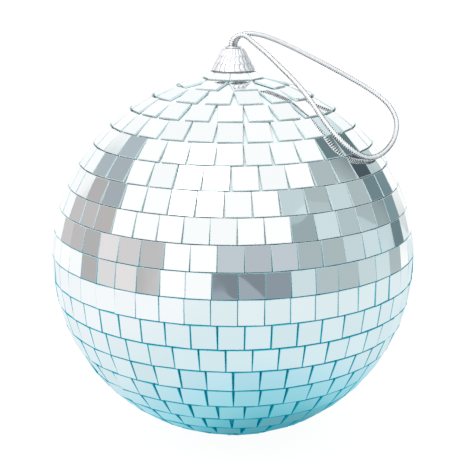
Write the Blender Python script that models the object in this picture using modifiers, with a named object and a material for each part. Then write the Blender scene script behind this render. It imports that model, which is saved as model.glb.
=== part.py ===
"""Mirror ball on a cord, as its separate pieces, in metres with +Z up.

The origin is the middle of the cap's cord hole, at the top of its eyelet. The ball hangs below it.
"""
import math

import bmesh
import bpy
from mathutils import Vector

MM = 0.001

# The ball and its tiles. Every tile is one flat square that touches the ball's sphere at its middle.
BALL_RADIUS = 76.2 * MM
TILE_SIDE = 9.5 * MM
TILE_THICKNESS = 1.6 * MM
TILE_JOINT = 0.1 * MM
EDGE_GAP = 0.3 * MM
MIDDLE_ROW_DEG = -0.4
ROW_PITCH_DEG = 7.45
ROW_PITCH_GROWTH_DEG = 1.4
ROW_GROWTH_LATITUDE_DEG = 80.0
ROWS_EACH_SIDE = 10
RING_SIDES_LEAST = 12

# The hollow core, in two halves that lap at the equator.
CORE_RADIUS = 74.2 * MM
CORE_WALL = 2.2 * MM
CORE_STEPS = 48
CORE_ARC_POINTS = 10
CORE_SEAM_GAP = 0.3 * MM
LAP_WALL = 1.5 * MM
LAP_CLEARANCE = 1.0 * MM
LAP_RISE = 5.0 * MM
LAP_ROOT = 3.0 * MM
NECK_HOLE_RADIUS = 4.2 * MM
NECK_COLLAR_RADIUS = 7.5 * MM
NECK_SHOULDER_HEIGHT = 77.6 * MM
NECK_FOOT_RADIUS = 10.9 * MM

# The cap and what it holds. CAP_FOOT_RISE is how far the cap's foot stands above the sphere's pole.
CAP_HEIGHT = 8.5 * MM
CAP_FOOT_RADIUS = 9.2 * MM
CAP_TOP_RADIUS = 4.6 * MM
CAP_WALL = 0.6 * MM
CAP_FOOT_RISE = 2.6 * MM
CAP_TIERS = 3
CAP_TIER_STEP = 0.2 * MM
CAP_FLUTES = 24
CAP_FLUTE_DEPTH = 0.35 * MM

# The crown, a cone of short tiles round the neck. Its heights are above the ball's centre.
CROWN_INNER_RADIUS = 8.9 * MM
CROWN_APOTHEM = 11.5 * MM
CROWN_OUTER_HEIGHT = BALL_RADIUS - 0.4 * MM
CROWN_SLOPE_DEG = 42.0
CROWN_THICKNESS = 1.5 * MM
FOOT_DISC_RADIUS = 10.6 * MM

EYELET_BORE_RADIUS = 2.5 * MM
EYELET_TUBE_RADIUS = 2.9 * MM
EYELET_FLANGE_RADIUS = 3.9 * MM
EYELET_ROLL_RADIUS = 3.7 * MM
EYELET_FLANGE = 0.6 * MM
EYELET_ROLL = 0.4 * MM
WASHER_RADIUS = 4.2 * MM
WASHER_THICKNESS = 0.5 * MM
KNOT_RADIUS = 3.3 * MM
KNOT_HEIGHT = 4.4 * MM
KNOT_FLAT_DEG = 60.0
KNOT_POINTS = 7
PLUG_FLANGE_RADIUS = 7.0 * MM
PLUG_FLANGE = 1.2 * MM
PLUG_STEM_RADIUS = 3.9 * MM
PLUG_BORE_RADIUS = 2.4 * MM
PLUG_ROOF = 1.6 * MM
PLUG_STEM_REACH = 6.0 * MM
PUSH_NUT_RADIUS = 8.5 * MM
PUSH_NUT_THICKNESS = 0.6 * MM
SMALL_STEPS = 32

CORD_DIAMETER = 2.0 * MM
CORD_LEG_OFFSET = 1.15 * MM
CORD_LEG_TURN_DEG = 50.0
CORD_POINT_SPACING = 4.4 * MM
CURVE_STEPS = 12

# Heights down the axis, from the top of the eyelet at zero.
CAP_TOP_Z = -EYELET_FLANGE - EDGE_GAP
CAP_FOOT_Z = CAP_TOP_Z - CAP_HEIGHT
CENTRE_Z = CAP_FOOT_Z - CAP_FOOT_RISE - BALL_RADIUS
ROLL_TOP_Z = CAP_TOP_Z - CAP_WALL - EDGE_GAP
WASHER_TOP_Z = ROLL_TOP_Z - EYELET_ROLL - EDGE_GAP
KNOT_TOP_Z = WASHER_TOP_Z - WASHER_THICKNESS - EDGE_GAP
PLUG_TOP_Z = KNOT_TOP_Z - KNOT_HEIGHT - EDGE_GAP
COLLAR_TOP_HEIGHT = PLUG_TOP_Z - PLUG_FLANGE - EDGE_GAP - CENTRE_Z

# The cord's loop, in millimetres from the top of the eyelet. It leaves the hole by its left leg, turns
# over to the right, lies along the ball's shoulder, turns back at its tip and comes home above itself.
CORD_LOOP_MM = [
    (-0.8, -0.9, 0.3), (-0.5, -1.1, 2.0), (1.0, -1.3, 3.8), (3.3, -1.7, 4.6), (5.7, -2.1, 3.8),
    (8.1, -2.8, 1.8), (10.9, -3.8, -0.4), (14.3, -6.0, -3.2), (18.8, -9.8, -7.3), (23.6, -15.0, -11.6),
    (27.8, -20.7, -16.0), (31.3, -26.2, -20.4), (34.4, -31.3, -24.8), (38.0, -35.4, -29.2),
    (42.4, -37.6, -33.6), (47.1, -36.7, -37.3), (52.0, -32.3, -39.9), (57.1, -24.8, -40.9),
    (62.1, -16.2, -39.6), (66.0, -8.2, -36.3), (67.8, -1.2, -31.4), (66.2, 4.0, -26.3),
    (61.8, 7.0, -21.8), (55.0, 8.5, -17.3), (47.3, 8.8, -13.0), (39.5, 8.0, -8.8), (31.8, 6.6, -4.8),
    (24.6, 5.0, -1.1), (17.8, 3.5, 2.0), (12.4, 2.5, 4.0), (8.2, 1.9, 4.8), (5.2, 1.5, 4.9),
    (2.8, 1.3, 4.0), (1.4, 1.1, 2.3), (0.8, 0.9, 0.4),
]


def empty_scene():
    """Remove every object, so that the script can run in any file."""
    for item in list(bpy.data.objects):
        bpy.data.objects.remove(item, do_unlink=True)


def make_collection(name):
    collection = bpy.data.collections.new(name)
    bpy.context.scene.collection.children.link(collection)
    return collection


def principled(name, colour, roughness, metallic):
    material = bpy.data.materials.new(name)
    material.use_nodes = True
    shader = material.node_tree.nodes["Principled BSDF"]
    shader.inputs["Base Color"].default_value = (*colour, 1.0)
    shader.inputs["Roughness"].default_value = roughness
    shader.inputs["Metallic"].default_value = metallic
    return material


def add_object(name, data, material, parent, collection):
    item = bpy.data.objects.new(name, data)
    data.materials.append(material)
    item.parent = parent
    collection.objects.link(item)
    return item


def turned(name, profile, steps, material, parent, collection, smooth=True, closed=True):
    """Turn a profile of (radius, height) points about Z. It runs down its outer side, then back up."""
    mesh = bpy.data.meshes.new(name)
    points = [(radius, 0.0, height) for radius, height in profile]
    count = len(points)
    edges = [(i, i + 1) for i in range(count - 1)]
    if closed:
        edges.append((count - 1, 0))
    mesh.from_pydata(points, edges, [])
    item = add_object(name, mesh, material, parent, collection)
    screw = item.modifiers.new("turn", "SCREW")
    screw.axis = "Z"
    screw.angle = math.tau
    screw.steps = steps
    screw.render_steps = steps
    screw.use_merge_vertices = True
    screw.merge_threshold = 0.00001
    screw.use_smooth_shade = smooth
    return item


def arc(radius, start_deg, end_deg, count):
    """Points on a circle about the ball's centre, from one latitude to another."""
    points = []
    for i in range(count):
        latitude = math.radians(start_deg + (end_deg - start_deg) * i / (count - 1))
        points.append((radius * math.cos(latitude), radius * math.sin(latitude)))
    return points


def row_distances():
    """How far each row's middle is from the middle row, in degrees. They spread a little to the pole."""
    edge = ROW_PITCH_DEG / 2
    middles = []
    for _ in range(ROWS_EACH_SIDE):
        nominal = edge + ROW_PITCH_DEG / 2
        pitch = ROW_PITCH_DEG + ROW_PITCH_GROWTH_DEG * (nominal / ROW_GROWTH_LATITUDE_DEG) ** 3
        middles.append(edge + pitch / 2)
        edge += pitch
    return middles


def tiles_in_row(latitude_deg):
    """How many squares fit round a row, where it is shortest: along its edge towards the pole."""
    latitude = math.radians(abs(latitude_deg))
    radius = BALL_RADIUS * math.cos(latitude) - TILE_SIDE / 2 * math.sin(latitude)
    return math.floor(math.tau * radius / (TILE_SIDE + TILE_JOINT))


def add_tile_row(name, latitude_deg, material, parent, collection):
    """One strip of tiles, as a ring with a flat side for each tile. Short rows have a few more sides."""
    latitude = math.radians(latitude_deg)
    out = Vector((math.cos(latitude), math.sin(latitude)))
    along = Vector((-math.sin(latitude), math.cos(latitude)))
    sides = max(tiles_in_row(latitude_deg), RING_SIDES_LEAST)
    to_corner = 1 / math.cos(math.pi / sides)
    profile = []
    for radius, reach in ((BALL_RADIUS, 1), (BALL_RADIUS, -1),
                          (BALL_RADIUS - TILE_THICKNESS, -1), (BALL_RADIUS - TILE_THICKNESS, 1)):
        point = out * radius + along * reach * TILE_SIDE / 2
        profile.append((point.x * to_corner, point.y))
    ring = turned(name, profile, sides, material, parent, collection, smooth=False)
    ring.rotation_euler.z = -math.pi / 2 - math.pi / sides
    return ring


def add_crown(material, parent, collection):
    """The short tiles that slope up round the neck, under the cap."""
    to_corner = 1 / math.cos(math.pi / RING_SIDES_LEAST)
    rise = (CROWN_APOTHEM - CROWN_INNER_RADIUS) * math.tan(math.radians(CROWN_SLOPE_DEG))
    outer = CROWN_APOTHEM * to_corner
    inner = CROWN_INNER_RADIUS * to_corner
    profile = [(inner, CROWN_OUTER_HEIGHT + rise), (outer, CROWN_OUTER_HEIGHT),
               (outer, CROWN_OUTER_HEIGHT - CROWN_THICKNESS),
               (inner, CROWN_OUTER_HEIGHT + rise - CROWN_THICKNESS)]
    ring = turned("tile_row_crown", profile, RING_SIDES_LEAST, material, parent, collection, smooth=False)
    ring.rotation_euler.z = -math.pi / 2 - math.pi / RING_SIDES_LEAST
    return ring


def add_bottom_disc(material, parent, collection):
    """The round piece of mirror that closes the south pole, with its flat face down."""
    mesh = bpy.data.meshes.new("bottom_disc")
    form = bmesh.new()
    bmesh.ops.create_cone(form, cap_ends=True, segments=SMALL_STEPS, radius1=FOOT_DISC_RADIUS,
                          radius2=FOOT_DISC_RADIUS, depth=TILE_THICKNESS)
    form.to_mesh(mesh)
    form.free()
    disc = add_object("bottom_disc", mesh, material, parent, collection)
    disc.location.z = -BALL_RADIUS + TILE_THICKNESS / 2
    return disc


def add_core_upper(material, parent, collection):
    """The core's upper half, with a collar round its neck hole that spreads to carry the crown."""
    inner = CORE_RADIUS - CORE_WALL
    seam = CORE_SEAM_GAP / 2
    neck_foot = math.degrees(math.acos(NECK_FOOT_RADIUS / CORE_RADIUS))
    outside = arc(CORE_RADIUS, neck_foot, math.degrees(math.asin(seam / CORE_RADIUS)), CORE_ARC_POINTS)
    hole_edge = math.degrees(math.acos(NECK_HOLE_RADIUS / inner))
    inside = arc(inner, math.degrees(math.asin(seam / inner)), hole_edge, CORE_ARC_POINTS)
    neck = [(NECK_HOLE_RADIUS, COLLAR_TOP_HEIGHT), (NECK_COLLAR_RADIUS, COLLAR_TOP_HEIGHT),
            (NECK_COLLAR_RADIUS, NECK_SHOULDER_HEIGHT)]
    return turned("core_upper", neck + outside + inside, CORE_STEPS, material, parent, collection)


def add_core_lower(material, parent, collection):
    """The core's lower half, a bowl whose lip stands up inside the upper half."""
    inner = CORE_RADIUS - CORE_WALL
    seam = -CORE_SEAM_GAP / 2
    lip_outer = inner - LAP_CLEARANCE
    lip_inner = lip_outer - LAP_WALL
    outside = arc(CORE_RADIUS, math.degrees(math.asin(seam / CORE_RADIUS)), -90, CORE_ARC_POINTS)
    root = -math.degrees(math.asin((LAP_ROOT + LAP_WALL) / inner))
    inside = arc(inner, -90, root, CORE_ARC_POINTS)
    lip = [(lip_inner, -LAP_ROOT), (lip_inner, LAP_RISE), (lip_outer, LAP_RISE), (lip_outer, seam)]
    profile = lip[2:] + outside + inside + lip[:2]
    return turned("core_lower", profile, CORE_STEPS, material, parent, collection)


def cap_outline():
    """Outer (radius, height) points of the cap, top to foot, with a small step under each tier."""
    points = []
    slope = (CAP_FOOT_RADIUS - CAP_TOP_RADIUS) / CAP_TIERS
    for tier in range(CAP_TIERS):
        start = CAP_TOP_RADIUS + slope * tier
        top = CAP_TOP_Z - CAP_HEIGHT * tier / CAP_TIERS
        foot = CAP_TOP_Z - CAP_HEIGHT * (tier + 1) / CAP_TIERS
        points.append((start, top))
        if tier < CAP_TIERS - 1:
            points.append((start + slope + CAP_TIER_STEP, foot + CAP_TIER_STEP))
        else:
            points.append((CAP_FOOT_RADIUS, foot))
    return points


def add_cap_shell(material, parent, collection):
    """The fluted cap: a ridged outside over a plain inside, so it is lofted section by section."""
    sides = CAP_FLUTES * 2
    under_top = CAP_TOP_Z - CAP_WALL
    hole = EYELET_TUBE_RADIUS + EDGE_GAP
    wall_at_slope = CAP_WALL + CAP_FLUTE_DEPTH
    sections = [(hole, CAP_TOP_Z, 0.0)]
    sections += [(radius, height, CAP_FLUTE_DEPTH) for radius, height in cap_outline()]
    sections += [(CAP_FOOT_RADIUS - wall_at_slope, CAP_FOOT_Z, 0.0)]
    sections += [(CAP_TOP_RADIUS - wall_at_slope + CAP_WALL, under_top, 0.0), (hole, under_top, 0.0)]
    mesh = bpy.data.meshes.new("cap_shell")
    form = bmesh.new()
    rings = []
    for radius, height, flute in sections:
        ring = []
        for i in range(sides):
            angle = math.tau * i / sides
            reach = radius - flute * (i % 2)
            ring.append(form.verts.new((reach * math.cos(angle), reach * math.sin(angle), height)))
        rings.append(ring)
    for upper, lower in zip(rings, rings[1:] + rings[:1]):
        for i in range(sides):
            after = (i + 1) % sides
            form.faces.new((upper[i], lower[i], lower[after], upper[after]))
    form.to_mesh(mesh)
    form.free()
    return add_object("cap_shell", mesh, material, parent, collection)


def add_cap_eyelet(material, parent, collection):
    """The spool-shaped eyelet in the cap's top hole."""
    roll_bottom = ROLL_TOP_Z - EYELET_ROLL
    profile = [(EYELET_BORE_RADIUS, 0.0), (EYELET_FLANGE_RADIUS, 0.0),
               (EYELET_FLANGE_RADIUS, -EYELET_FLANGE), (EYELET_TUBE_RADIUS, -EYELET_FLANGE),
               (EYELET_TUBE_RADIUS, ROLL_TOP_Z), (EYELET_ROLL_RADIUS, ROLL_TOP_Z),
               (EYELET_ROLL_RADIUS, roll_bottom), (EYELET_BORE_RADIUS, roll_bottom)]
    return turned("cap_eyelet", profile, SMALL_STEPS, material, parent, collection)


def add_thrust_washer(material, parent, collection):
    bottom = WASHER_TOP_Z - WASHER_THICKNESS
    profile = [(EYELET_BORE_RADIUS, WASHER_TOP_Z), (WASHER_RADIUS, WASHER_TOP_Z),
               (WASHER_RADIUS, bottom), (EYELET_BORE_RADIUS, bottom)]
    return turned("thrust_washer", profile, SMALL_STEPS, material, parent, collection)


def add_cord_knot(material, parent, collection):
    """The knot as one rounded lump, flat on top where it bears on the washer."""
    half = KNOT_HEIGHT / 2
    middle = KNOT_TOP_Z - half
    profile = [(0.0, KNOT_TOP_Z)]
    for i in range(KNOT_POINTS):
        angle = math.radians(KNOT_FLAT_DEG * (1 - 2 * i / (KNOT_POINTS - 1)))
        height = middle + half * math.sin(angle) / math.sin(math.radians(KNOT_FLAT_DEG))
        profile.append((KNOT_RADIUS * math.cos(angle), height))
    profile.append((0.0, middle - half))
    return turned("cord_knot", profile, SMALL_STEPS, material, parent, collection, closed=False)


def add_cap_plug(material, parent, collection):
    """The plug under the knot: a flange in the cap's foot, and a hollow stem through the core's neck."""
    flange_bottom = PLUG_TOP_Z - PLUG_FLANGE
    stem_bottom = CENTRE_Z + CORE_RADIUS - CORE_WALL - PLUG_STEM_REACH
    profile = [(0.0, PLUG_TOP_Z), (PLUG_FLANGE_RADIUS, PLUG_TOP_Z),
               (PLUG_FLANGE_RADIUS, flange_bottom), (PLUG_STEM_RADIUS, flange_bottom),
               (PLUG_STEM_RADIUS, stem_bottom), (PLUG_BORE_RADIUS, stem_bottom),
               (PLUG_BORE_RADIUS, PLUG_TOP_Z - PLUG_ROOF), (0.0, PLUG_TOP_Z - PLUG_ROOF)]
    return turned("cap_plug", profile, SMALL_STEPS, material, parent, collection, closed=False)


def add_push_nut(material, parent, collection):
    """The sprung steel disc that grips the stem inside the core."""
    roof = math.sqrt((CORE_RADIUS - CORE_WALL) ** 2 - PUSH_NUT_RADIUS ** 2)
    top = CENTRE_Z + roof - EDGE_GAP
    bottom = top - PUSH_NUT_THICKNESS
    bore = PLUG_STEM_RADIUS + EDGE_GAP
    profile = [(bore, top), (PUSH_NUT_RADIUS, top), (PUSH_NUT_RADIUS, bottom), (bore, bottom)]
    return turned("push_nut", profile, SMALL_STEPS, material, parent, collection)


def smooth_curve(points, spacing):
    """Points at an even spacing on a Catmull-Rom curve through the given points."""
    fine = []
    ends = [points[0] * 2 - points[1]] + points + [points[-1] * 2 - points[-2]]
    for a, b, c, d in zip(ends, ends[1:], ends[2:], ends[3:]):
        for i in range(CURVE_STEPS):
            t = i / CURVE_STEPS
            fine.append(0.5 * (2 * b + (c - a) * t + (2 * a - 5 * b + 4 * c - d) * t ** 2
                               + (3 * b - a - 3 * c + d) * t ** 3))
    fine.append(points[-1])
    reached = [0.0]
    for a, b in zip(fine, fine[1:]):
        reached.append(reached[-1] + (b - a).length)
    count = math.ceil(reached[-1] / spacing)
    even = []
    span = 0
    for i in range(count + 1):
        wanted = reached[-1] * i / count
        while span < len(fine) - 2 and reached[span + 1] < wanted:
            span += 1
        share = (wanted - reached[span]) / (reached[span + 1] - reached[span])
        even.append(fine[span].lerp(fine[span + 1], share))
    return even


def add_hanging_cord(material, parent, collection):
    """The cord's loop, from the top of the knot, out of the eyelet, round, and back to the knot."""
    foot = Vector((0.0, 0.0, KNOT_TOP_Z + EDGE_GAP))
    turn = math.radians(CORD_LEG_TURN_DEG)
    aside = Vector((math.cos(turn), math.sin(turn), 0.0)) * CORD_LEG_OFFSET
    left = [foot - aside, foot / 2 - aside]
    right = [foot / 2 + aside, foot + aside]
    route = left + [Vector(point) * MM for point in CORD_LOOP_MM] + right
    path = smooth_curve(route, CORD_POINT_SPACING)
    curve = bpy.data.curves.new("hanging_cord", "CURVE")
    curve.dimensions = "3D"
    curve.bevel_depth = CORD_DIAMETER / 2
    curve.bevel_resolution = 2
    curve.use_fill_caps = True
    spline = curve.splines.new("POLY")
    spline.points.add(len(path) - 1)
    for slot, place in zip(spline.points, path):
        slot.co = (*place, 1.0)
    return add_object("hanging_cord", curve, material, parent, collection)


def build():
    empty_scene()
    collection = make_collection("mirror_ball")
    mirror = principled("mirror_glass", (0.86, 0.90, 0.91), 0.04, 1.0)
    plastic = principled("core_plastic", (0.80, 0.82, 0.82), 0.45, 0.0)
    silver = principled("cap_silver", (0.82, 0.83, 0.85), 0.18, 1.0)
    steel = principled("fitting_steel", (0.60, 0.61, 0.62), 0.30, 1.0)
    nylon = principled("washer_nylon", (0.90, 0.90, 0.88), 0.50, 0.0)
    lurex = principled("cord_lurex", (0.72, 0.72, 0.75), 0.35, 0.8)

    centre = bpy.data.objects.new("ball_centre", None)
    centre.location.z = CENTRE_Z
    collection.objects.link(centre)
    axis = bpy.data.objects.new("hanging_axis", None)
    collection.objects.link(axis)

    add_core_upper(plastic, centre, collection)
    add_core_lower(plastic, centre, collection)
    add_tile_row("tile_row_equator", MIDDLE_ROW_DEG, mirror, centre, collection)
    for number, away in enumerate(row_distances(), start=1):
        north = MIDDLE_ROW_DEG + away
        south = MIDDLE_ROW_DEG - away
        add_tile_row(f"tile_row_north_{number:02d}", north, mirror, centre, collection)
        add_tile_row(f"tile_row_south_{number:02d}", south, mirror, centre, collection)
    add_crown(mirror, centre, collection)
    add_bottom_disc(mirror, centre, collection)

    add_cap_shell(silver, axis, collection)
    add_cap_eyelet(steel, axis, collection)
    add_cap_plug(plastic, axis, collection)
    add_push_nut(steel, axis, collection)
    add_thrust_washer(nylon, axis, collection)
    add_cord_knot(lurex, axis, collection)
    add_hanging_cord(lurex, axis, collection)


build()
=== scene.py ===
import math
import random

import bpy
from mathutils import Matrix, Vector


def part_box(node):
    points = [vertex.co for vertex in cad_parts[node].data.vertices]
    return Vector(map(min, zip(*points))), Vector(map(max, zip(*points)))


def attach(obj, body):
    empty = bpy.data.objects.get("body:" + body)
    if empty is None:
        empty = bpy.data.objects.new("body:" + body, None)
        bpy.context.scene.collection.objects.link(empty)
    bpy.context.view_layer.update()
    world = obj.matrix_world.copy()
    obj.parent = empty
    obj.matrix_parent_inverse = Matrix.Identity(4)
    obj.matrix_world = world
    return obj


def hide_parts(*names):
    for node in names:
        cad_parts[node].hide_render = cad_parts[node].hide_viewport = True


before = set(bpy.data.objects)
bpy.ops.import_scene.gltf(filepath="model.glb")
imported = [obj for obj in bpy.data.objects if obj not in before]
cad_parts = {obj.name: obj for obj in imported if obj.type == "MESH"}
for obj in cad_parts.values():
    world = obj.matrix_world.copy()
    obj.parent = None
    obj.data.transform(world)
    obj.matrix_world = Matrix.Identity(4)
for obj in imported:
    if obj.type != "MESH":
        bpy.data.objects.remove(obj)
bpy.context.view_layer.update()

MM = 0.001

# The ball's driving sizes, as the frame has them. TILE_HALF_CAD is half the height that a tile has in
# the frame, which sets how many tiles fit round a row.
BALL_RADIUS = 76.2 * MM
CENTRE = Vector((0.0, 0.0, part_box("bottom_disc")[0][2] + BALL_RADIUS))
TILE_SIDE = 9.6 * MM
TILE_JOINT = 0.1 * MM
TILE_HALF_CAD = 4.75 * MM
EDGE_GAP = 0.3 * MM
MIDDLE_ROW_DEG = -0.4
ROW_PITCH_DEG = 7.45
ROW_PITCH_GROWTH_DEG = 1.4
ROW_GROWTH_LATITUDE_DEG = 80.0

# The loose tiles: the glass, its bevel on the upper and the lower rows, the worn band beside the bevel,
# the least and the most that a corner is cut off, and the strip of backing under a row.
GLASS = 1.0 * MM
BEVEL = 0.09 * MM
BEVEL_SHADED = 0.19 * MM
WORN_BAND = 0.6 * MM
CORNER_CUTS = (0.05 * MM, 0.2 * MM)
BACKING = 0.2 * MM
BACKING_MARGIN = 0.1 * MM

# How far the tiles are out of true: tipped up or down, leaning sideways, and turned in their own plane.
TILT_DEG = 0.9
LEAN_DEG = 1.3
TWIST_DEG = 0.6

# The crown under the cap: its tiles, the radii of its foot and its top, its slope, and how far its foot
# lies under the height of the sphere's pole.
CROWN_TILES = 8
CROWN_APOTHEM = 11.5 * MM
CROWN_INNER_RADIUS = 8.9 * MM
CROWN_SLOPE_DEG = 42.0
CROWN_SINK = 0.45 * MM

# Where each row has a joint between two tiles: how far right of the front, in tiles.
MIDDLE_ROW_JOINT = 0.17
NORTH_JOINTS = [0.21, 0.42, 0.16, -0.32, -0.07, 0.40, 0.42, 0.38, 0.02, -0.14]
SOUTH_JOINTS = [0.43, -0.27, 0.01, 0.01, 0.43, -0.04, 0.35, 0.1, -0.3, 0.2]

# The camera: how far above the horizon it stands, how far off, and where it aims.
VIEW_ELEVATION_DEG = 15.95
VIEW_DISTANCE = 6.0 * BALL_RADIUS
AIM_ABOVE_CENTRE = 9.0 * MM
LENS_MM = 82.3

# The cord: two legs in the cap's eyelet, and the loop between them in millimetres.
CORD_DIAMETER = 2.0 * MM
CORD_LEG_OFFSET = 1.15 * MM
CORD_LEG_TURN_DEG = 50.0
CORD_STEP = 0.3 * MM
CORD_LOOP_MM = [
    (-0.8, -0.9, 0.3), (-0.5, -1.1, 2.0), (1.0, -1.3, 3.8), (3.3, -1.7, 4.6), (5.7, -2.1, 3.8),
    (8.1, -2.8, 1.8), (10.9, -3.8, -0.4), (14.3, -6.0, -3.2), (18.8, -9.8, -7.3), (23.6, -15.0, -11.6),
    (27.8, -20.7, -16.0), (31.3, -26.2, -20.4), (34.4, -31.3, -24.8), (38.0, -35.4, -29.2),
    (42.4, -37.6, -33.6), (47.1, -36.7, -37.3), (52.0, -32.3, -39.9), (57.1, -24.8, -40.9),
    (62.1, -16.2, -39.6), (66.0, -8.2, -36.3), (67.8, -1.2, -31.4), (66.2, 4.0, -26.3),
    (61.8, 7.0, -21.8), (55.0, 8.5, -17.3), (47.3, 8.8, -13.0), (39.5, 8.0, -8.8), (31.8, 6.6, -4.8),
    (24.6, 5.0, -1.1), (17.8, 3.5, 2.0), (12.4, 2.5, 4.0), (8.2, 1.9, 4.8), (5.2, 1.5, 4.9),
    (2.8, 1.3, 4.0), (1.4, 1.1, 2.3), (0.8, 0.9, 0.4),
]

# What the cord is made of: strands twisted together, and a filament wound round them. The filament carries
# painted shade, dark along the cord's two edges as they lie when it is looked at from CORD_FRONT.
STRANDS = 4
STRAND_RADIUS = 0.42 * MM
STRAND_OFFSET = 0.57 * MM
STRAND_SIDES = 8
TWIST_PITCH = 3.6 * MM
BINDING_RADIUS = 0.24 * MM
BINDING_OFFSET = CORD_DIAMETER / 2 - 0.17 * MM
BINDING_SIDES = 4
BINDING_PITCH = 0.92 * MM
BINDING_STEPS = 12
CORD_FRONT = Vector((0.0, -1.0, 0.3)).normalized()


# ---------------------------------------------------------------- helpers

def add_mesh(name, points, faces, materials, indices=None, smooth=False):
    """Make a mesh object from points and faces, with a material index for each face."""
    mesh = bpy.data.meshes.new(name)
    mesh.from_pydata(points, [], faces)
    for material in materials:
        mesh.materials.append(material)
    if indices:
        mesh.polygons.foreach_set("material_index", indices)
    if smooth:
        mesh.shade_smooth()
    mesh.update()
    item = bpy.data.objects.new(name, mesh)
    bpy.context.scene.collection.objects.link(item)
    return item


def add_attribute(item, name, values):
    """Store one number at every vertex, for the materials to read."""
    layer = item.data.attributes.new(name, "FLOAT", "POINT")
    layer.data.foreach_set("value", values)


def ring_faces(rings, around):
    """The faces of a closed ring, whose section has one ring of points for each of its corners."""
    faces = []
    for ring in range(rings):
        below = (ring + 1) % rings
        for i in range(around):
            after = (i + 1) % around
            faces.append((ring * around + i, below * around + i, below * around + after,
                          ring * around + after))
    return faces


class Nodes:
    """A short way to write a material's node tree."""

    def __init__(self, tree):
        self.tree = tree

    def add(self, kind, inputs=None, **settings):
        node = self.tree.nodes.new(kind)
        for key, value in settings.items():
            setattr(node, key, value)
        for key, value in (inputs or {}).items():
            self.put(node, key, value)
        return node

    def put(self, node, key, value):
        socket = node.inputs[key]
        if isinstance(value, bpy.types.NodeSocket):
            self.tree.links.new(value, socket)
        else:
            socket.default_value = value

    def math(self, operation, a, b=0.0, clamp=False):
        node = self.add("ShaderNodeMath", {0: a, 1: b}, operation=operation, use_clamp=clamp)
        return node.outputs[0]

    def fade(self, value, low, high, out_low=0.0, out_high=1.0):
        """Smooth step of a value from low to high."""
        node = self.add("ShaderNodeMapRange", {"Value": value, "From Min": low, "From Max": high,
                                               "To Min": out_low, "To Max": out_high},
                        interpolation_type="SMOOTHSTEP")
        return node.outputs["Result"]

    def mix(self, factor, a, b):
        """Blend two colours."""
        node = self.add("ShaderNodeMix", data_type="RGBA")
        self.put(node, 0, factor)
        self.put(node, 6, a if isinstance(a, bpy.types.NodeSocket) else (*a, 1.0))
        self.put(node, 7, b if isinstance(b, bpy.types.NodeSocket) else (*b, 1.0))
        return node.outputs[2]

    def noise(self, vector, scale, detail=3.0):
        node = self.add("ShaderNodeTexNoise", {"Vector": vector, "Scale": scale, "Detail": detail})
        return node.outputs["Fac"]

    def bump(self, height, strength, distance):
        node = self.add("ShaderNodeBump", {"Height": height, "Strength": strength, "Distance": distance})
        return node.outputs["Normal"]


def new_material(name):
    material = bpy.data.materials.new(name)
    material.use_nodes = True
    nodes = Nodes(material.node_tree)
    return material, nodes, material.node_tree.nodes["Principled BSDF"]


def object_point(nodes):
    return nodes.add("ShaderNodeTexCoord").outputs["Object"]


def attribute(nodes, name):
    return nodes.add("ShaderNodeAttribute", attribute_name=name).outputs["Fac"]


# ---------------------------------------------------------------- materials

def mirror_face_material():
    """Silvered glass: near-perfect mirror, each tile a little different, worn at its cut edges."""
    material, nodes, shader = new_material("mirror_face")
    rim = attribute(nodes, "rim_mm")
    tone = attribute(nodes, "tile_tone")
    place = object_point(nodes)
    clear = nodes.mix(tone, (0.90, 0.93, 0.94), (0.99, 0.995, 1.0))
    bite = nodes.noise(place, 1400.0, 4.0)
    reach = nodes.fade(bite, 0.45, 0.75, 0.0, 0.45)
    worn = nodes.math("SUBTRACT", 1.0, nodes.fade(rim, 0.0, 0.5))
    edge = nodes.math("MULTIPLY", worn, reach, clamp=True)
    nodes.put(shader, "Base Color", nodes.mix(edge, clear, (0.30, 0.45, 0.48)))
    nodes.put(shader, "Metallic", nodes.math("SUBTRACT", 1.0, nodes.math("MULTIPLY", edge, 0.5)))
    smear = nodes.noise(place, 70.0, 5.0)
    nodes.put(shader, "Roughness", nodes.fade(smear, 0.45, 0.85, 0.015, 0.07))
    wave = nodes.noise(place, 60.0, 1.0)
    nodes.put(shader, "Normal", nodes.bump(wave, 0.06, 0.001))
    return material


def glass_edge_material():
    """The cut sides of the tiles, with painted light and shade: pale where light falls in from above, deep
    teal on the shaded half, and a band of painted gap shadow low down each side.
    """
    material, nodes, shader = new_material("glass_edge")
    depth = attribute(nodes, "depth")
    place = object_point(nodes)
    chips = nodes.noise(place, 900.0, 4.0)
    height = nodes.add("ShaderNodeSeparateXYZ", {0: place}).outputs[2]
    # Painted light and shade by height: pale sides where light falls from above, deep teal on the shaded
    # lower half.
    shaded = nodes.fade(height, CENTRE.z - 0.15 * BALL_RADIUS, CENTRE.z + 0.45 * BALL_RADIUS, 1.0, 0.0)
    clear = nodes.mix(chips, (0.60, 0.74, 0.76), (0.86, 0.95, 0.96))
    # Painted gap shadow: the sides turn darker and greener towards the back of the glass.
    painted_gap_shadow = nodes.mix(chips, (0.20, 0.36, 0.38), (0.36, 0.54, 0.56))
    light = nodes.mix(nodes.fade(depth, 0.78, 0.93), clear, painted_gap_shadow)
    teal = nodes.mix(chips, (0.0, 0.44, 0.56), (0.02, 0.60, 0.73))
    nodes.put(shader, "Base Color", nodes.mix(shaded, light, teal))
    nodes.put(shader, "Specular IOR Level", nodes.fade(shaded, 0.2, 0.9, 0.3, 0.0))
    nodes.put(shader, "Roughness", nodes.fade(chips, 0.3, 0.8, 0.10, 0.40))
    nodes.put(shader, "Normal", nodes.bump(chips, 0.3, 0.0003))
    return material


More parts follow.
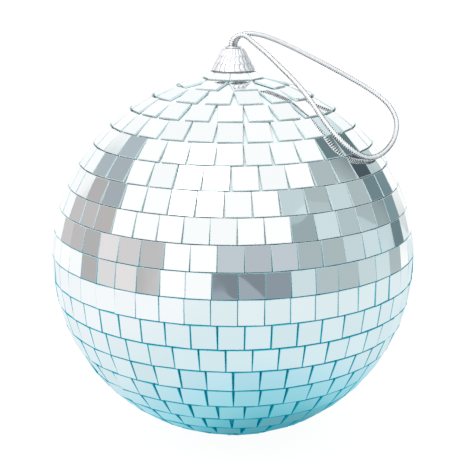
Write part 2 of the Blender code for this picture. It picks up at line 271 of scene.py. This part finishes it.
def backing_material():
    """The pale fabric strip under a row of tiles, with painted light and shade: deep teal on the shaded
    lower half.
    """
    material, nodes, shader = new_material("backing_strip")
    place = object_point(nodes)
    weave = nodes.noise(place, 1600.0, 2.0)
    stain = nodes.noise(place, 60.0, 3.0)
    height = nodes.add("ShaderNodeSeparateXYZ", {0: place}).outputs[2]
    shaded = nodes.fade(height, CENTRE.z - 0.2 * BALL_RADIUS, CENTRE.z + 0.3 * BALL_RADIUS, 1.0, 0.0)
    pale = nodes.mix(stain, (0.80, 0.86, 0.87), (0.93, 0.96, 0.97))
    # Painted light and shade by height: the strip turns deep teal on the shaded lower half.
    nodes.put(shader, "Base Color", nodes.mix(shaded, pale, (0.03, 0.55, 0.66)))
    nodes.put(shader, "Roughness", 0.75)
    nodes.put(shader, "Normal", nodes.bump(weave, 0.4, 0.0002))
    return material


def plastic_material(name, light, dark, roughness):
    """Moulded plastic with a faint grain and a slow change of tone."""
    material, nodes, shader = new_material(name)
    place = object_point(nodes)
    grain = nodes.noise(place, 1200.0, 2.0)
    cloud = nodes.noise(place, 50.0, 3.0)
    nodes.put(shader, "Base Color", nodes.mix(cloud, dark, light))
    nodes.put(shader, "Roughness", nodes.fade(cloud, 0.3, 0.7, roughness - 0.06, roughness + 0.08))
    nodes.put(shader, "Normal", nodes.bump(grain, 0.15, 0.0002))
    return material


def steel_material():
    """Plated steel with fine turning marks."""
    material, nodes, shader = new_material("plated_steel")
    place = object_point(nodes)
    marks = nodes.noise(place, 2200.0, 2.0)
    cloud = nodes.noise(place, 300.0, 3.0)
    nodes.put(shader, "Base Color", nodes.mix(cloud, (0.72, 0.73, 0.75), (0.90, 0.91, 0.92)))
    nodes.put(shader, "Metallic", 1.0)
    nodes.put(shader, "Roughness", nodes.fade(marks, 0.3, 0.7, 0.18, 0.34))
    nodes.put(shader, "Normal", nodes.bump(marks, 0.12, 0.0001))
    return material


def cap_material():
    """Bright metallised plastic, duller and darker down in its flutes, where the darkening is painted
    shade.
    """
    material, nodes, shader = new_material("cap_silver")
    groove = attribute(nodes, "groove")
    place = object_point(nodes)
    cloud = nodes.noise(place, 500.0, 3.0)
    bright = nodes.mix(cloud, (0.93, 0.93, 0.95), (0.99, 0.99, 1.0))
    # Painted shade: the base colour darkens towards the bottom of each flute.
    nodes.put(shader, "Base Color", nodes.mix(groove, bright, (0.50, 0.49, 0.54)))
    nodes.put(shader, "Metallic", 0.5)
    nodes.put(shader, "Roughness", nodes.fade(cloud, 0.3, 0.7, 0.22, 0.36))
    nodes.put(shader, "Normal", nodes.bump(cloud, 0.15, 0.0002))
    return material


def lurex_material():
    """Silver-white metallic strands, a little duller down between them, where the darkening is painted
    shade.
    """
    material, nodes, shader = new_material("lurex_strand")
    groove = attribute(nodes, "groove")
    place = object_point(nodes)
    glint = nodes.noise(place, 3500.0, 2.0)
    bright = nodes.mix(nodes.fade(glint, 0.35, 0.65), (0.90, 0.90, 0.92), (1.0, 1.0, 1.0))
    # Painted shade: the base colour darkens where the strands lie deep between each other.
    nodes.put(shader, "Base Color", nodes.mix(groove, bright, (0.62, 0.62, 0.66)))
    nodes.put(shader, "Metallic", 0.25)
    nodes.put(shader, "Roughness", nodes.fade(glint, 0.3, 0.7, 0.45, 0.28))
    nodes.put(shader, "Normal", nodes.bump(glint, 0.4, 0.0002))
    return material


def binding_material():
    """The fine filament wound round the cord: silver, with painted shade along the two edges seen from in
    front.
    """
    material, nodes, shader = new_material("binding_filament")
    # Painted shade: the filament turns nearly black and loses its gloss along the cord's outline seen from
    # CORD_FRONT.
    painted_edge_shade = nodes.fade(attribute(nodes, "groove"), 0.42, 0.60)
    place = object_point(nodes)
    fleck = nodes.noise(place, 2500.0, 2.0)
    silver = nodes.mix(fleck, (0.80, 0.80, 0.83), (0.98, 0.98, 1.0))
    dark = nodes.mix(fleck, (0.005, 0.005, 0.008), (0.04, 0.04, 0.05))
    nodes.put(shader, "Base Color", nodes.mix(painted_edge_shade, silver, dark))
    nodes.put(shader, "Metallic", nodes.fade(painted_edge_shade, 0.0, 1.0, 0.3, 0.0))
    nodes.put(shader, "Specular IOR Level", nodes.fade(painted_edge_shade, 0.0, 1.0, 0.4, 0.02))
    nodes.put(shader, "Roughness", 0.6)
    return material


# ---------------------------------------------------------------- camera

def add_camera():
    """Look down at the ball from in front."""
    elevation = math.radians(VIEW_ELEVATION_DEG)
    back = Vector((0.0, -math.cos(elevation), math.sin(elevation)))
    up = Vector((0.0, math.sin(elevation), math.cos(elevation)))
    data = bpy.data.cameras.new("camera")
    data.lens = LENS_MM
    data.sensor_width = 36.0
    data.clip_start = 0.01
    camera = bpy.data.objects.new("camera", data)
    bpy.context.scene.collection.objects.link(camera)
    camera.location = CENTRE + back * VIEW_DISTANCE
    aim = CENTRE + up * AIM_ABOVE_CENTRE - camera.location
    camera.rotation_euler = aim.to_track_quat("-Z", "Y").to_euler()
    bpy.context.scene.camera = camera


# ---------------------------------------------------------------- cord

def smooth_curve(points, spacing):
    """Points at an even spacing on a Catmull-Rom curve through the given points."""
    fine = []
    per_span = 24
    ends = [points[0] * 2 - points[1]] + points + [points[-1] * 2 - points[-2]]
    for a, b, c, d in zip(ends, ends[1:], ends[2:], ends[3:]):
        for i in range(per_span):
            t = i / per_span
            fine.append(0.5 * (2 * b + (c - a) * t + (2 * a - 5 * b + 4 * c - d) * t ** 2
                               + (3 * b - a - 3 * c + d) * t ** 3))
    fine.append(points[-1])
    reached = [0.0]
    for a, b in zip(fine, fine[1:]):
        reached.append(reached[-1] + (b - a).length)
    count = math.ceil(reached[-1] / spacing)
    even = []
    span = 0
    for i in range(count + 1):
        wanted = reached[-1] * i / count
        while span < len(fine) - 2 and reached[span + 1] < wanted:
            span += 1
        share = (wanted - reached[span]) / (reached[span + 1] - reached[span])
        even.append(fine[span].lerp(fine[span + 1], share))
    return even


def carried_frames(path):
    """A tangent and a side direction at each point of a path, carried along it without twist."""
    frames = []
    side = Vector((1.0, 0.0, 0.0))
    for i in range(len(path)):
        tangent = (path[min(i + 1, len(path) - 1)] - path[max(i - 1, 0)]).normalized()
        side = (side - tangent * side.dot(tangent)).normalized()
        frames.append((tangent, side))
    return frames


def tube(path, radius, sides):
    """Points and faces of a closed tube along a path."""
    points = []
    faces = []
    for place, (tangent, side) in zip(path, carried_frames(path)):
        other = tangent.cross(side)
        for k in range(sides):
            angle = math.tau * k / sides
            points.append(place + (side * math.cos(angle) + other * math.sin(angle)) * radius)
    for i in range(len(path) - 1):
        for k in range(sides):
            a = i * sides + k
            b = i * sides + (k + 1) % sides
            faces.append((a, b, b + sides, a + sides))
    faces.append(tuple(range(sides - 1, -1, -1)))
    last = (len(path) - 1) * sides
    faces.append(tuple(range(last, last + sides)))
    return points, faces


def strand_mesh(path):
    """The strands twisted round a path, with how deep each point lies between them, from 0 to 1."""
    surface = 0.86 * MM
    depth = 0.2 * MM
    frames = carried_frames(path)
    points = []
    faces = []
    grooves = []
    for strand in range(STRANDS):
        line = []
        for i, (place, (tangent, side)) in enumerate(zip(path, frames)):
            angle = math.tau * (i * CORD_STEP / TWIST_PITCH + strand / STRANDS)
            other = tangent.cross(side)
            line.append(place + (side * math.cos(angle) + other * math.sin(angle)) * STRAND_OFFSET)
        strand_points, strand_faces = tube(line, STRAND_RADIUS, STRAND_SIDES)
        start = len(points)
        points += strand_points
        faces += [tuple(v + start for v in face) for face in strand_faces]
        for k, point in enumerate(strand_points):
            away = (point - path[k // STRAND_SIDES]).length
            grooves.append(min(1.0, max(0.0, (surface - away) / depth)))
    return points, faces, grooves


def binding_mesh(path):
    """The filament wound round a path, with how near each point is to the edges seen from in front."""
    fine = smooth_curve(path, BINDING_PITCH / BINDING_STEPS)
    line = []
    edges = []
    for i, (place, (tangent, side)) in enumerate(zip(fine, carried_frames(fine))):
        angle = math.tau * i / BINDING_STEPS
        out = side * math.cos(angle) + tangent.cross(side) * math.sin(angle)
        line.append(place + out * BINDING_OFFSET)
        across = tangent.cross(CORD_FRONT)
        edges.append(abs(out.dot(across.normalized())) if across.length > 0.1 else 0.0)
    points, faces = tube(line, BINDING_RADIUS, BINDING_SIDES)
    return points, faces, [edges[k // BINDING_SIDES] for k in range(len(points))]


def add_cord(strand_material, thread_material):
    """Metallic strands with a fine filament wound round them, out of the cap and back."""
    knot_low, knot_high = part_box("cord_knot")
    foot = Vector((0.0, 0.0, knot_high[2] + EDGE_GAP))
    turn = math.radians(CORD_LEG_TURN_DEG)
    aside = Vector((math.cos(turn), math.sin(turn), 0.0)) * CORD_LEG_OFFSET
    left = [foot - aside, foot / 2 - aside]
    right = [foot / 2 + aside, foot + aside]
    path = smooth_curve(left + [Vector(point) * MM for point in CORD_LOOP_MM] + right, CORD_STEP)
    points, faces, grooves = strand_mesh(path)
    thread_points, thread_faces, edges = binding_mesh(path)
    indices = [0] * len(faces) + [1] * len(thread_faces)
    start = len(points)
    points += thread_points
    faces += [tuple(v + start for v in face) for face in thread_faces]
    cord = add_mesh("cord_strands", points, faces, [strand_material, thread_material], indices, smooth=True)
    # The filament's points carry their nearness to the cord's outline seen from in front, which its
    # material turns into painted shade.
    add_attribute(cord, "groove", grooves + edges)
    knot = add_knot(strand_material, knot_low, knot_high)
    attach(cord, "hanger")
    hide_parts("hanging_cord")


def add_knot(material, low, high):
    """The knot inside the cap: a trefoil of cord pulled up small."""
    middle = (Vector(low) + Vector(high)) / 2
    thick = 0.85 * MM
    reach = (high[0] - low[0]) / 2 - thick
    rise = (high[2] - low[2]) / 2 - thick
    steps = 96
    line = []
    for i in range(steps - 1):
        t = math.tau * i / steps
        line.append(middle + Vector(((math.sin(t) + 2 * math.sin(2 * t)) / 3 * reach,
                                     (math.cos(t) - 2 * math.cos(2 * t)) / 3 * reach,
                                     -math.sin(3 * t) * rise)))
    points, faces = tube(line, thick, 10)
    knot = add_mesh("cord_knot_tied", points, faces, [material], smooth=True)
    add_attribute(knot, "groove", [0.0] * len(points))
    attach(knot, "hanger")
    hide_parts("cord_knot")
    return knot


# ---------------------------------------------------------------- tiles

def row_distances(count):
    """How far each row's middle is from the middle row, in degrees. They spread a little to the pole."""
    edge = ROW_PITCH_DEG / 2
    middles = []
    for _ in range(count):
        nominal = edge + ROW_PITCH_DEG / 2
        pitch = ROW_PITCH_DEG + ROW_PITCH_GROWTH_DEG * (nominal / ROW_GROWTH_LATITUDE_DEG) ** 3
        middles.append(edge + pitch / 2)
        edge += pitch
    return middles


def tiles_in_row(latitude_deg):
    """How many squares fit round a row, where it is shortest: along its edge towards the pole."""
    latitude = math.radians(abs(latitude_deg))
    radius = BALL_RADIUS * math.cos(latitude) - TILE_HALF_CAD * math.sin(latitude)
    return math.floor(math.tau * radius / TILE_SIDE)


def row_joint_azimuth(count, joint):
    """The azimuth of one joint of a row, given as tiles to the right of the front."""
    return -math.pi / 2 + joint * math.tau / count


def tile_outline(top_width, bottom_width, height, chance):
    """The tile's corners, each cut off a very little, anticlockwise from the lower left."""
    corners = [Vector((-bottom_width / 2, -height / 2)), Vector((bottom_width / 2, -height / 2)),
               Vector((top_width / 2, height / 2)), Vector((-top_width / 2, height / 2))]
    outline = []
    for i, corner in enumerate(corners):
        before = (corners[i - 1] - corner).normalized()
        after = (corners[(i + 1) % 4] - corner).normalized()
        outline.append(corner + before * chance.uniform(*CORNER_CUTS))
        outline.append(corner + after * chance.uniform(*CORNER_CUTS))
    return outline


def inset(outline, depth):
    """The outline shrunk so that its outermost points move inwards by a depth, both ways."""
    half_width = max(point.x for point in outline)
    half_height = max(point.y for point in outline)
    return [Vector((point.x * (1 - depth / half_width), point.y * (1 - depth / half_height)))
            for point in outline]


class TileBuild:
    """The mesh of a set of loose tiles, gathered tile by tile."""

    def __init__(self):
        self.points = []
        self.faces = []
        self.indices = []
        self.rims = []
        self.tones = []
        self.depths = []

    def add(self, place, outline, tone, bevel=BEVEL):
        """Append one bevelled tile: face, worn band, bevel, sides and back."""
        levels = [(inset(outline, bevel + WORN_BAND), 0.0, WORN_BAND / MM),
                  (inset(outline, bevel), 0.0, 0.0),
                  (outline, -bevel, 0.0),
                  (outline, -GLASS, 0.0)]
        start = len(self.points)
        sides = len(outline)
        for ring, depth, rim in levels:
            for point in ring:
                self.points.append(place @ Vector((point.x, point.y, depth)))
                self.rims.append(rim)
                self.tones.append(tone)
                self.depths.append(-depth / GLASS)
        self.faces.append(tuple(range(start, start + sides)))
        self.indices.append(0)
        for level in range(len(levels) - 1):
            for k in range(sides):
                a = start + level * sides + k
                b = start + level * sides + (k + 1) % sides
                self.faces.append((a, a + sides, b + sides, b))
                self.indices.append(0 if level == 0 else 1)
        last = start + (len(levels) - 1) * sides
        self.faces.append(tuple(range(last + sides - 1, last - 1, -1)))
        self.indices.append(1)

    def finish(self, name, node, materials):
        piece = add_mesh(name, self.points, self.faces, materials, self.indices)
        add_attribute(piece, "rim_mm", self.rims)
        add_attribute(piece, "tile_tone", self.tones)
        add_attribute(piece, "depth", self.depths)
        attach(piece, "ball")
        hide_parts(node)


def tile_frame(latitude, azimuth, radius, tilt, lean, twist):
    """Matrix that sets a tile on the ball: x east, y north, z out, then its own small tilts."""
    out = Vector((math.cos(latitude) * math.cos(azimuth), math.cos(latitude) * math.sin(azimuth),
                  math.sin(latitude)))
    east = Vector((-math.sin(azimuth), math.cos(azimuth), 0.0))
    north = out.cross(east)
    turn = Matrix((east, north, out)).transposed().to_4x4()
    own = (Matrix.Rotation(tilt, 4, "X") @ Matrix.Rotation(lean, 4, "Y")
           @ Matrix.Rotation(twist, 4, "Z"))
    return Matrix.Translation(CENTRE + out * radius) @ turn @ own


def add_tile_row(name, node, latitude_deg, joint, materials, chance):
    """All the loose tiles of one row, each a little out of true."""
    latitude = math.radians(latitude_deg)
    count = tiles_in_row(latitude_deg)
    half = TILE_SIDE / 2
    pole_edge = BALL_RADIUS * math.cos(latitude) - half * abs(math.sin(latitude))
    width = min(TILE_SIDE, 2 * pole_edge * math.tan(math.pi / count) - TILE_JOINT)
    loose = 0.9 - 0.35 * abs(math.sin(latitude))
    spare = math.tau / count - width / (BALL_RADIUS * math.cos(latitude))
    bevel = BEVEL_SHADED if latitude_deg < MIDDLE_ROW_DEG else BEVEL
    build = TileBuild()
    for i in range(count):
        azimuth = row_joint_azimuth(count, joint) + math.tau * (i + 0.5) / count
        azimuth += chance.uniform(-0.25, 0.25) * spare
        tilt = math.radians(chance.gauss(0.0, TILT_DEG) * loose)
        lean = math.radians(chance.gauss(0.0, LEAN_DEG) * loose)
        twist = math.radians(chance.gauss(0.0, TWIST_DEG) * loose)
        sink = (abs(math.sin(tilt)) + abs(math.sin(lean))) * half
        place = tile_frame(latitude, azimuth, BALL_RADIUS - sink * 0.5, tilt, lean, twist)
        build.add(place, tile_outline(width, width, TILE_SIDE, chance), chance.random(), bevel)
    build.finish(name, node, materials)


def add_backing(name, latitude_deg, joint, material):
    """The strip under a row: a ring with a flat for each tile, its corners under the joints."""
    latitude = math.radians(latitude_deg)
    count = tiles_in_row(latitude_deg)
    half = TILE_SIDE / 2 - BACKING_MARGIN
    outer = BALL_RADIUS - GLASS - EDGE_GAP
    inner = outer - BACKING
    points = []
    faces = []
    for i in range(count):
        azimuth = row_joint_azimuth(count, joint) + math.tau * i / count
        for radius, reach in ((outer, half), (outer, -half), (inner, -half), (inner, half)):
            apothem = radius * math.cos(latitude) - reach * math.sin(latitude)
            corner = apothem / math.cos(math.pi / count)
            height = radius * math.sin(latitude) + reach * math.cos(latitude)
            points.append(CENTRE + Vector((corner * math.cos(azimuth), corner * math.sin(azimuth), height)))
    for i in range(count):
        after = (i + 1) % count
        for k in range(4):
            m = (k + 1) % 4
            faces.append((i * 4 + k, i * 4 + m, after * 4 + m, after * 4 + k))
    strip = add_mesh(name, points, faces, [material])
    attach(strip, "ball")


def add_all_rows(materials, backing):
    """The middle row, then the rows above and below it in pairs."""
    chance = random.Random(11)
    rows = [("equator", MIDDLE_ROW_DEG, MIDDLE_ROW_JOINT)]
    for number, away in enumerate(row_distances(len(NORTH_JOINTS)), start=1):
        rows.append((f"north_{number:02d}", MIDDLE_ROW_DEG + away, NORTH_JOINTS[number - 1]))
        rows.append((f"south_{number:02d}", MIDDLE_ROW_DEG - away, SOUTH_JOINTS[number - 1]))
    for label, latitude, joint in rows:
        add_tile_row(f"tiles_{label}", f"tile_row_{label}", latitude, joint, materials, chance)
        add_backing(f"backing_{label}", latitude, joint, backing)


def add_crown(materials, backing):
    """Short cut tiles that slope up round the neck, under the cap, on their own backing."""
    chance = random.Random(5)
    slope = math.radians(CROWN_SLOPE_DEG)
    run = CROWN_APOTHEM - CROWN_INNER_RADIUS
    rise = run * math.tan(slope)
    reach = run / math.cos(slope)
    middle = (CROWN_APOTHEM + CROWN_INNER_RADIUS) / 2
    height = CENTRE.z + BALL_RADIUS - CROWN_SINK + rise / 2
    side_share = 2 * math.tan(math.pi / CROWN_TILES)
    wide = min(TILE_SIDE, CROWN_APOTHEM * side_share - EDGE_GAP)
    narrow = CROWN_INNER_RADIUS * side_share - EDGE_GAP
    build = TileBuild()
    for i in range(CROWN_TILES):
        azimuth = row_joint_azimuth(CROWN_TILES, NORTH_JOINTS[-1]) + math.tau * (i + 0.5) / CROWN_TILES
        away = Vector((math.cos(azimuth), math.sin(azimuth), 0.0))
        east = Vector((-math.sin(azimuth), math.cos(azimuth), 0.0))
        out = away * math.sin(slope) + Vector((0.0, 0.0, math.cos(slope)))
        turn = Matrix((east, out.cross(east), out)).transposed().to_4x4()
        own = Matrix.Rotation(math.radians(chance.uniform(-1.2, 1.2)), 4, "Y")
        place = Matrix.Translation(away * middle + Vector((0.0, 0.0, height))) @ turn @ own
        build.add(place, tile_outline(narrow, wide, reach, chance), chance.random())
    build.finish("tiles_crown", "tile_row_crown", materials)
    glue = 0.1 * MM
    foot = height - rise / 2 - (GLASS + glue) / math.cos(slope)
    foot_radius = CROWN_APOTHEM - 0.4 * MM
    sections = [(CROWN_INNER_RADIUS, foot + rise), (foot_radius, foot),
                (foot_radius, foot - BACKING), (CROWN_INNER_RADIUS, foot + rise - BACKING)]
    add_lathe("backing_crown", sections, 48, backing)


def add_lathe(name, sections, around, material, smooth=False):
    """A turned ring of (radius, height) sections about the hanging axis, riding with the ball."""
    points = []
    for radius, level in sections:
        for i in range(around):
            angle = math.tau * i / around
            points.append(Vector((radius * math.cos(angle), radius * math.sin(angle), level)))
    ring = add_mesh(name, points, ring_faces(len(sections), around), [material], smooth=smooth)
    if smooth:
        ring.data.set_sharp_from_angle(angle=math.radians(40))
    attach(ring, "ball")
    return ring


def add_bottom_glass(materials):
    """The round tile at the south pole, bevelled like the rest, with its face down."""
    low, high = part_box("bottom_disc")
    radius = (high[0] - low[0]) / 2
    sides = 48
    outline = [Vector((radius * math.cos(math.tau * i / sides), radius * math.sin(math.tau * i / sides)))
               for i in range(sides)]
    build = TileBuild()
    place = Matrix.Translation((0.0, 0.0, low[2])) @ Matrix.Rotation(math.pi, 4, "X")
    build.add(place, outline, 0.5)
    build.finish("bottom_glass", "bottom_disc", materials)


# ---------------------------------------------------------------- cap

def add_cap(material):
    """The fluted cap: a straight cone in three tiers of fine ridges, each tier's ridges set a bit over."""
    low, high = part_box("cap_shell")
    top_z = high[2]
    height = high[2] - low[2]
    foot_radius = (high[0] - low[0]) / 2
    top_radius = 4.6 * MM
    flat_radius = top_radius - 0.35 * MM
    hole = 3.2 * MM
    wall = 0.95 * MM
    ceiling = top_z - 0.6 * MM
    flutes = 24
    around = flutes * 12
    tiers = 3
    per_tier = 8
    step_out = 0.16 * MM
    shallow = 0.06 * MM
    deepening = 0.20 * MM
    tier_turn = 0.25 * math.tau / flutes
    sway = 0.05
    sections = [(hole, top_z, 0.0, 0.0), (flat_radius, top_z, 0.0, 0.0)]
    for tier in range(tiers):
        for step in range(per_tier + 1):
            share = step / per_tier
            along = (tier + share) / tiers
            radius = top_radius + (foot_radius - top_radius) * along
            radius += step_out * (share - 0.5) if share < 1 or tier < tiers - 1 else 0.0
            depth = shallow + deepening * math.sin(math.pi * share) ** 0.7
            bend = tier * tier_turn + sway * math.sin(math.pi * share)
            sections.append((min(radius, foot_radius), top_z - height * along, depth, bend))
    sections.append((foot_radius - wall, top_z - height, 0.0, 0.0))
    sections.append((flat_radius, ceiling, 0.0, 0.0))
    sections.append((hole, ceiling, 0.0, 0.0))
    points = []
    grooves = []
    for radius, level, depth, bend in sections:
        for i in range(around):
            angle = math.tau * i / around
            valley = (0.5 + 0.5 * math.cos(flutes * (angle + bend))) ** 4
            reach = radius - depth * valley
            points.append(Vector((reach * math.cos(angle), reach * math.sin(angle), level)))
            grooves.append(valley if depth else 0.0)
    cap = add_mesh("cap_fluted", points, ring_faces(len(sections), around), [material], smooth=True)
    cap.data.set_sharp_from_angle(angle=math.radians(50))
    add_attribute(cap, "groove", grooves)
    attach(cap, "ball")
    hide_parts("cap_shell")


def add_eyelet(material):
    """The eyelet that lines the cord hole: a rounded rim on top, a tube, and a rolled foot inside."""
    low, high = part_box("cap_eyelet")
    bore = 2.5 * MM
    tube_radius = 2.9 * MM
    rim_radius = 3.6 * MM
    foot_radius = (high[0] - low[0]) / 2 - 0.2 * MM
    rim_thick = 0.5 * MM
    foot_thick = 0.4 * MM
    top = high[2]
    foot_top = low[2] + foot_thick
    half_round = [math.radians(15 * i) for i in range(13)]
    middle = top - rim_thick / 2
    rim = [(rim_radius - rim_thick / 2 + rim_thick / 2 * math.sin(angle),
            middle + rim_thick / 2 * math.cos(angle)) for angle in half_round]
    sections = [(bore, middle), (bore + 0.08 * MM, top - 0.08 * MM), (bore + 0.25 * MM, top)]
    sections += rim
    sections += [(tube_radius, top - rim_thick), (tube_radius, foot_top),
                 (foot_radius - foot_thick / 2, foot_top), (foot_radius, foot_top - foot_thick / 2),
                 (foot_radius - foot_thick / 2, low[2]), (bore, low[2])]
    eyelet = add_lathe("eyelet_rolled", sections, 64, material, smooth=True)
    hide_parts("cap_eyelet")


# ---------------------------------------------------------------- carried-over CAD pieces

def finish_cad_pieces(plastic, steel, nylon):
    """Give the CAD nodes that stay their procedural finish."""
    finishes = {"core_upper": plastic, "core_lower": plastic, "cap_plug": plastic,
                "push_nut": steel, "thrust_washer": nylon}
    for node, material in finishes.items():
        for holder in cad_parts[node].material_slots:
            holder.material = material


# ---------------------------------------------------------------- stage

def band(nodes, value, low, high, soft):
    """1 between low and high, fading to 0 over the soft width outside."""
    rise = nodes.fade(value, low - soft, low)
    fall = nodes.fade(value, high, high + soft, 1.0, 0.0)
    return nodes.math("MULTIPLY", rise, fall)


def add_surroundings():
    """A studio that is white to the eye. In reflections it has grey walls, and a dark camera in front."""
    world = bpy.data.worlds.new("studio")
    world.use_nodes = True
    nodes = Nodes(world.node_tree)
    for node in list(world.node_tree.nodes):
        world.node_tree.nodes.remove(node)
    direction = nodes.add("ShaderNodeTexCoord").outputs["Generated"]
    parts = nodes.add("ShaderNodeSeparateXYZ", {0: direction})
    x, y, z = parts.outputs
    side = nodes.math("ARCTAN2", x, nodes.math("MULTIPLY", y, -1.0))
    side = nodes.math("MULTIPLY", side, 180 / math.pi)
    rise = nodes.math("MULTIPLY", nodes.math("ARCSINE", z), 180 / math.pi)
    # The walls are mottled, so that neighbouring tiles show different greys.
    mottle = nodes.add("ShaderNodeTexVoronoi", {"Vector": direction, "Scale": 5.0}).outputs["Color"]
    mottle = nodes.add("ShaderNodeSeparateColor", {0: mottle}).outputs[0]
    shade = nodes.fade(mottle, 0.1, 0.9, 0.78, 1.26)
    colour = (1.03, 1.03, 1.03)
    # Each patch: its ends round the ball, its ends above the horizon and its soft edge, in degrees, and
    # its colour.
    patches = [
        ((-126, -88), (-4, 22), 4, (0.62, 0.59, 0.59)),
        ((-132, -88), (22, 39), 3, (0.48, 0.54, 0.58)),
        ((-100, -54), (-9, 11), 4, (0.62, 0.60, 0.60)),
        ((-6, 36), (3, 16), 4, (0.58, 0.64, 0.68)),
        ((-3, 30), (-9, 4), 4, (0.27, 0.32, 0.36)),
        ((36, 138), (-9, 44), 4, (0.53, 0.63, 0.65)),
        ((40, 50), (18, 30), 4, (0.34, 0.43, 0.45)),
        ((80, 92), (10, 22), 4, (0.38, 0.46, 0.48)),
        ((115, 133), (-4, 42), 4, (0.17, 0.25, 0.27)),
        ((108, 124), (20, 36), 4, (0.09, 0.12, 0.14)),
    ]
    for (left, right), (bottom, top), soft, tint in patches:
        inside = nodes.math("MULTIPLY", band(nodes, side, left, right, soft),
                            band(nodes, rise, bottom, top, soft))
        wall = nodes.add("ShaderNodeVectorMath", {0: tint, 3: shade}, operation="SCALE").outputs[0]
        colour = nodes.mix(inside, colour, wall)
    seen = nodes.add("ShaderNodeLightPath").outputs["Is Camera Ray"]
    colour = nodes.mix(seen, colour, (1.0, 1.0, 1.0))
    background = nodes.add("ShaderNodeBackground", {"Color": colour, "Strength": 1.0})
    output = nodes.add("ShaderNodeOutputWorld")
    nodes.put(output, "Surface", background.outputs[0])
    bpy.context.scene.world = world


def floor_material():
    """White paper to the eye. In reflections, and in the light it throws on the ball, it glows from pale
    cyan to teal close to the ball.
    """
    # The ramp of colours starts a little right of the ball's middle and is narrower across than along.
    ramp_middle = 14.0 * MM
    ramp_reach = BALL_RADIUS * 4
    squeeze = 1.4
    paper_end = 1.62
    material, nodes, shader = new_material("floor_paper")
    nodes.put(shader, "Base Color", (0.06, 0.06, 0.06, 1.0))
    nodes.put(shader, "Roughness", 0.9)
    parts = nodes.add("ShaderNodeSeparateXYZ", {0: object_point(nodes)})
    x, y, _ = parts.outputs
    across = nodes.math("MULTIPLY", nodes.math("SUBTRACT", x, ramp_middle), squeeze)
    away = nodes.math("SQRT", nodes.math("ADD", nodes.math("MULTIPLY", across, across),
                                         nodes.math("MULTIPLY", y, y)))
    away = nodes.math("DIVIDE", away, ramp_reach)
    ramp = nodes.add("ShaderNodeValToRGB", {0: away})
    stops = [(0.08, (0.075, 0.35, 0.43)), (0.13, (0.13, 0.39, 0.46)), (0.16, (0.15, 0.52, 0.62)),
             (0.195, (0.29, 0.65, 0.74)), (0.24, (0.36, 0.72, 0.81)), (0.30, (0.49, 0.77, 0.86)),
             (0.39, (0.68, 0.84, 0.88)), (1.0, (0.78, 0.88, 0.90))]
    ramp.color_ramp.elements[0].position = stops[0][0]
    ramp.color_ramp.elements[1].position = stops[-1][0]
    for position, _ in stops[1:-1]:
        ramp.color_ramp.elements.new(position)
    for element, (_, tint) in zip(ramp.color_ramp.elements, stops):
        element.color = (*tint, 1.0)
    lit = nodes.fade(x, -0.18, -0.04, 0.75, 0.0)
    colour = nodes.mix(lit, ramp.outputs["Color"], (0.97, 0.98, 1.0))
    glow = nodes.add("ShaderNodeEmission", {"Color": colour, "Strength": 1.0})
    seen = nodes.add("ShaderNodeLightPath").outputs["Is Camera Ray"]
    gone = nodes.add("ShaderNodeBsdfTransparent")
    past_edge = nodes.math("GREATER_THAN", away, paper_end)
    reflected = nodes.add("ShaderNodeMixShader", {0: past_edge})
    nodes.put(reflected, 1, glow.outputs[0])
    nodes.put(reflected, 2, gone.outputs[0])
    # The paper glows nearly white by itself, so that the ball casts only a faint shadow on it.
    lift = nodes.add("ShaderNodeEmission", {"Color": (1.0, 1.0, 1.0, 1.0), "Strength": 0.95})
    paper = nodes.add("ShaderNodeAddShader", {0: shader.outputs[0], 1: lift.outputs[0]})
    mixed = nodes.add("ShaderNodeMixShader", {0: seen})
    nodes.put(mixed, 1, reflected.outputs[0])
    nodes.put(mixed, 2, paper.outputs[0])
    output = material.node_tree.nodes["Material Output"]
    nodes.put(output, "Surface", mixed.outputs[0])
    return material


def add_floor():
    half = 6.0
    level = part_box("bottom_disc")[0][2] - 0.02 * MM
    corners = [(-half, -half, 0.0), (half, -half, 0.0), (half, half, 0.0), (-half, half, 0.0)]
    floor = add_mesh("floor", corners, [(0, 1, 2, 3)], [floor_material()])
    floor.location.z = level


def add_lamp():
    """One broad soft lamp above and in front."""
    data = bpy.data.lights.new("softbox", "AREA")
    data.shape = "DISK"
    data.size = 0.9
    data.energy = 5.0
    lamp = bpy.data.objects.new("softbox", data)
    lamp.location = (-0.35, -0.5, 0.9)
    lamp.rotation_euler = (CENTRE - lamp.location).to_track_quat("-Z", "Y").to_euler()
    bpy.context.scene.collection.objects.link(lamp)


# ---------------------------------------------------------------- the scene

def build():
    add_camera()
    add_cord(lurex_material(), binding_material())
    tile_materials = [mirror_face_material(), glass_edge_material()]
    backing = backing_material()
    add_all_rows(tile_materials, backing)
    add_crown(tile_materials, backing)
    add_bottom_glass(tile_materials)
    add_cap(cap_material())
    plastic = plastic_material("core_plastic", (0.86, 0.88, 0.89), (0.70, 0.74, 0.76), 0.45)
    nylon = plastic_material("washer_nylon", (0.88, 0.88, 0.86), (0.80, 0.80, 0.78), 0.5)
    steel = steel_material()
    add_eyelet(steel)
    finish_cad_pieces(plastic, steel, nylon)
    add_surroundings()
    add_floor()
    add_lamp()
    bpy.context.scene.view_settings.view_transform = "Standard"


build()
